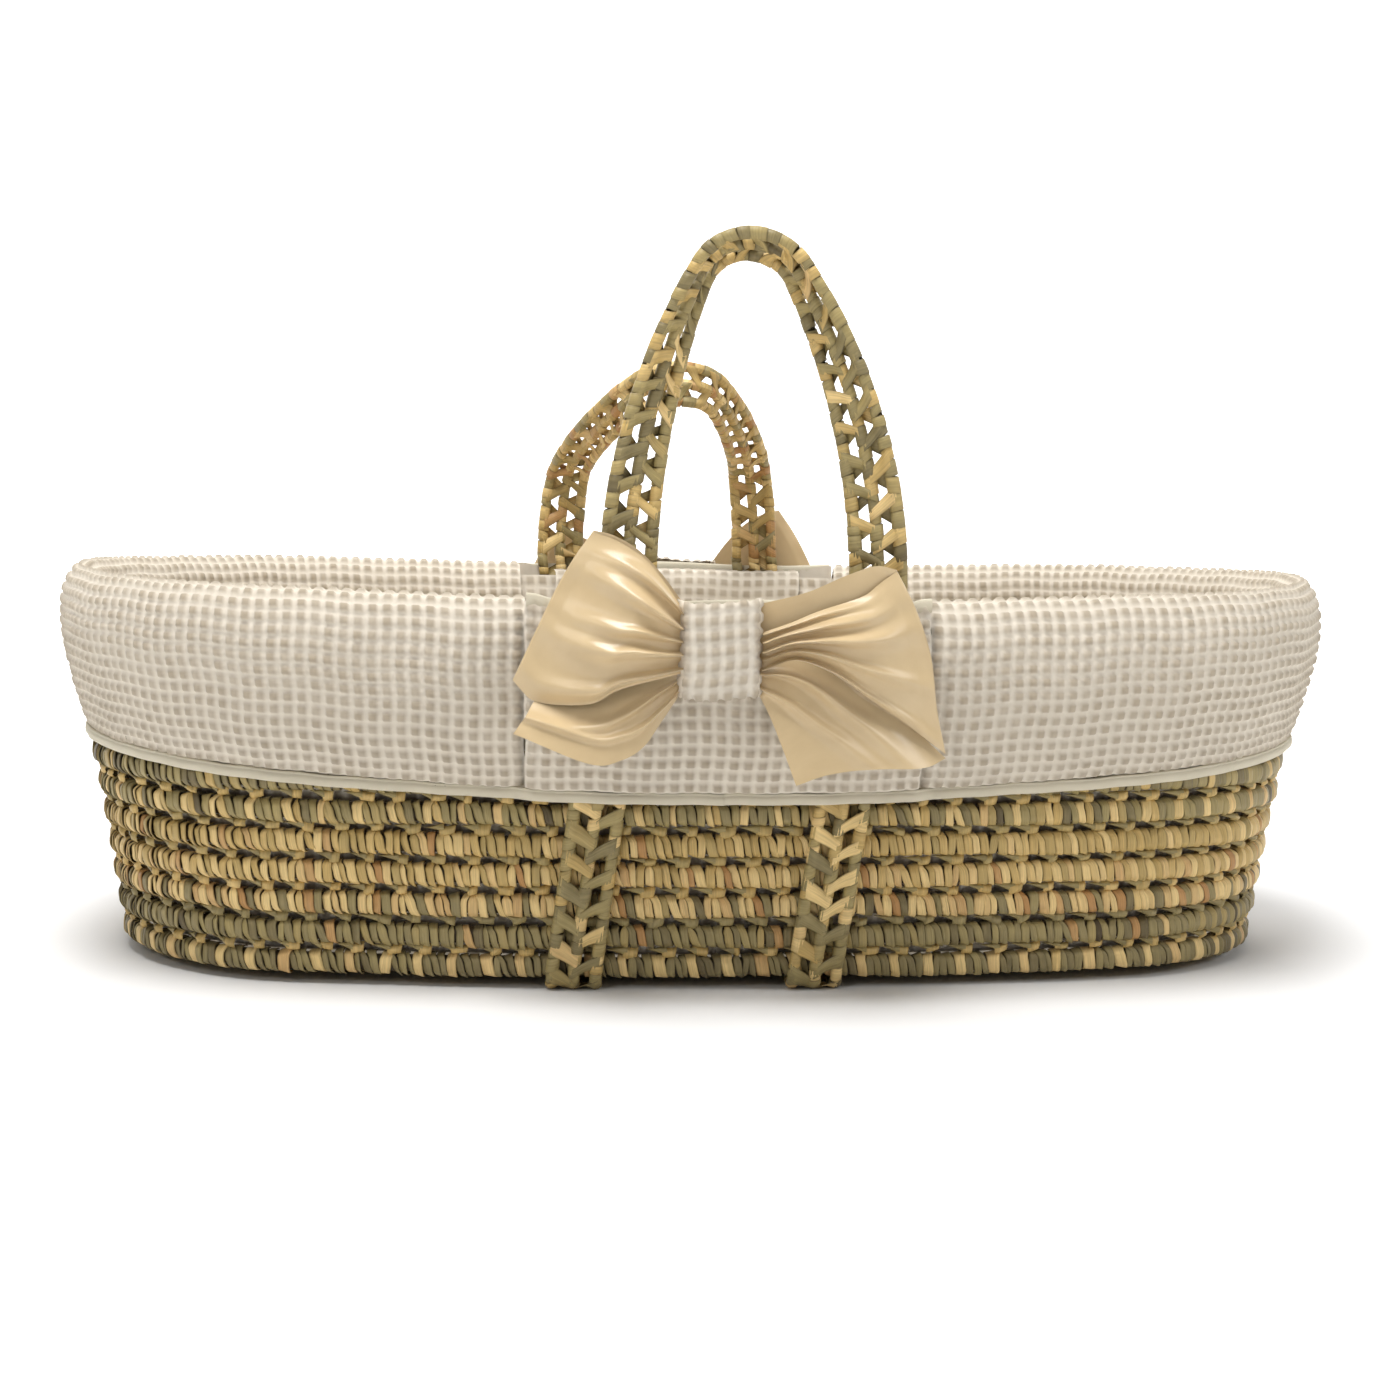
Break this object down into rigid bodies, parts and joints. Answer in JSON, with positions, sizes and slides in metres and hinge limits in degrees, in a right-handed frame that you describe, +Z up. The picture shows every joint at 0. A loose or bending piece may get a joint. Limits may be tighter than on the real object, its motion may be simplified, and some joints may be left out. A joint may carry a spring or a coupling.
{
  "type": "moses basket",
  "caption": "Oval coiled palm-leaf baby basket with flared wall, folding strap handles, padded waffle-cloth dressing with a satin bow on each long side, and a lift-out mattress.",
  "frame": {"origin": "centre of the bounding box in plan, at the underside of the two straps that pass beneath the base", "axes": "+Z up; X along the basket's length; -Y is the side whose handle stands upright, +Y the side whose handle flops inward"},
  "size_m": [0.868, 0.504, 0.4638],
  "materials": {
    "palm_coil": "dry palm leaf, satin on the flat of each strip",
    "palm_strap": "dry palm leaf twisted over a cord, satin",
    "waffle_cotton": "matte waffle weave",
    "cotton_binding": "matte plain weave",
    "satin": "soft satin sheen",
    "jersey_cover": "matte knit",
    "foam": "matte open-cell foam"
  },
  "bodies": {
    "basket": {"base_coils": "palm_coil", "wall_coil_01": "palm_coil", "wall_coil_02": "palm_coil", "wall_coil_03": "palm_coil", "wall_coil_04": "palm_coil", "wall_coil_05": "palm_coil", "wall_coil_06": "palm_coil", "wall_coil_07": "palm_coil", "wall_coil_08": "palm_coil", "wall_coil_09": "palm_coil", "wall_coil_10": "palm_coil", "wall_coil_11": "palm_coil", "wall_coil_12": "palm_coil", "under_strap_left": "palm_strap", "under_strap_right": "palm_strap", "front_left_strap": "palm_strap", "front_right_strap": "palm_strap", "back_left_strap": "palm_strap", "back_right_strap": "palm_strap", "liner_floor": "waffle_cotton", "liner_wall": "waffle_cotton", "skirt_left": "waffle_cotton", "skirt_right": "waffle_cotton", "front_panel": "waffle_cotton", "back_panel": "waffle_cotton", "hem_binding": "cotton_binding", "front_panel_binding": "cotton_binding", "back_panel_binding": "cotton_binding", "front_inner_flap": "waffle_cotton", "back_inner_flap": "waffle_cotton", "front_bow_left_loop": "satin", "front_bow_right_loop": "satin", "front_bow_left_tail": "satin", "front_bow_right_tail": "satin", "front_bow_knot": "waffle_cotton", "back_bow_left_loop": "satin", "back_bow_right_loop": "satin", "back_bow_left_tail": "satin", "back_bow_right_tail": "satin", "back_bow_knot": "waffle_cotton"},
    "front_handle": {"front_handle": "palm_strap"},
    "back_handle": {"back_handle": "palm_strap"},
    "mattress": {"mattress_cover": "jersey_cover", "mattress_foam": "foam"}
  },
  "joints": [
    {"name": "front_handle_fold", "type": "hinge", "parent": "basket", "child": "front_handle", "pos_m": [0.014, -0.21, 0.25], "axis": [1, 0, 0], "range_deg": [-88, 12]},
    {"name": "back_handle_fold", "type": "hinge", "parent": "basket", "child": "back_handle", "pos_m": [-0.014, 0.21, 0.25], "axis": [-1, 0, 0], "range_deg": [-40, 12]},
    {"name": "mattress_lift", "type": "slide", "parent": "basket", "child": "mattress", "axis": [0, 0, 1], "range_m": [0, 0.18]}
  ]
}
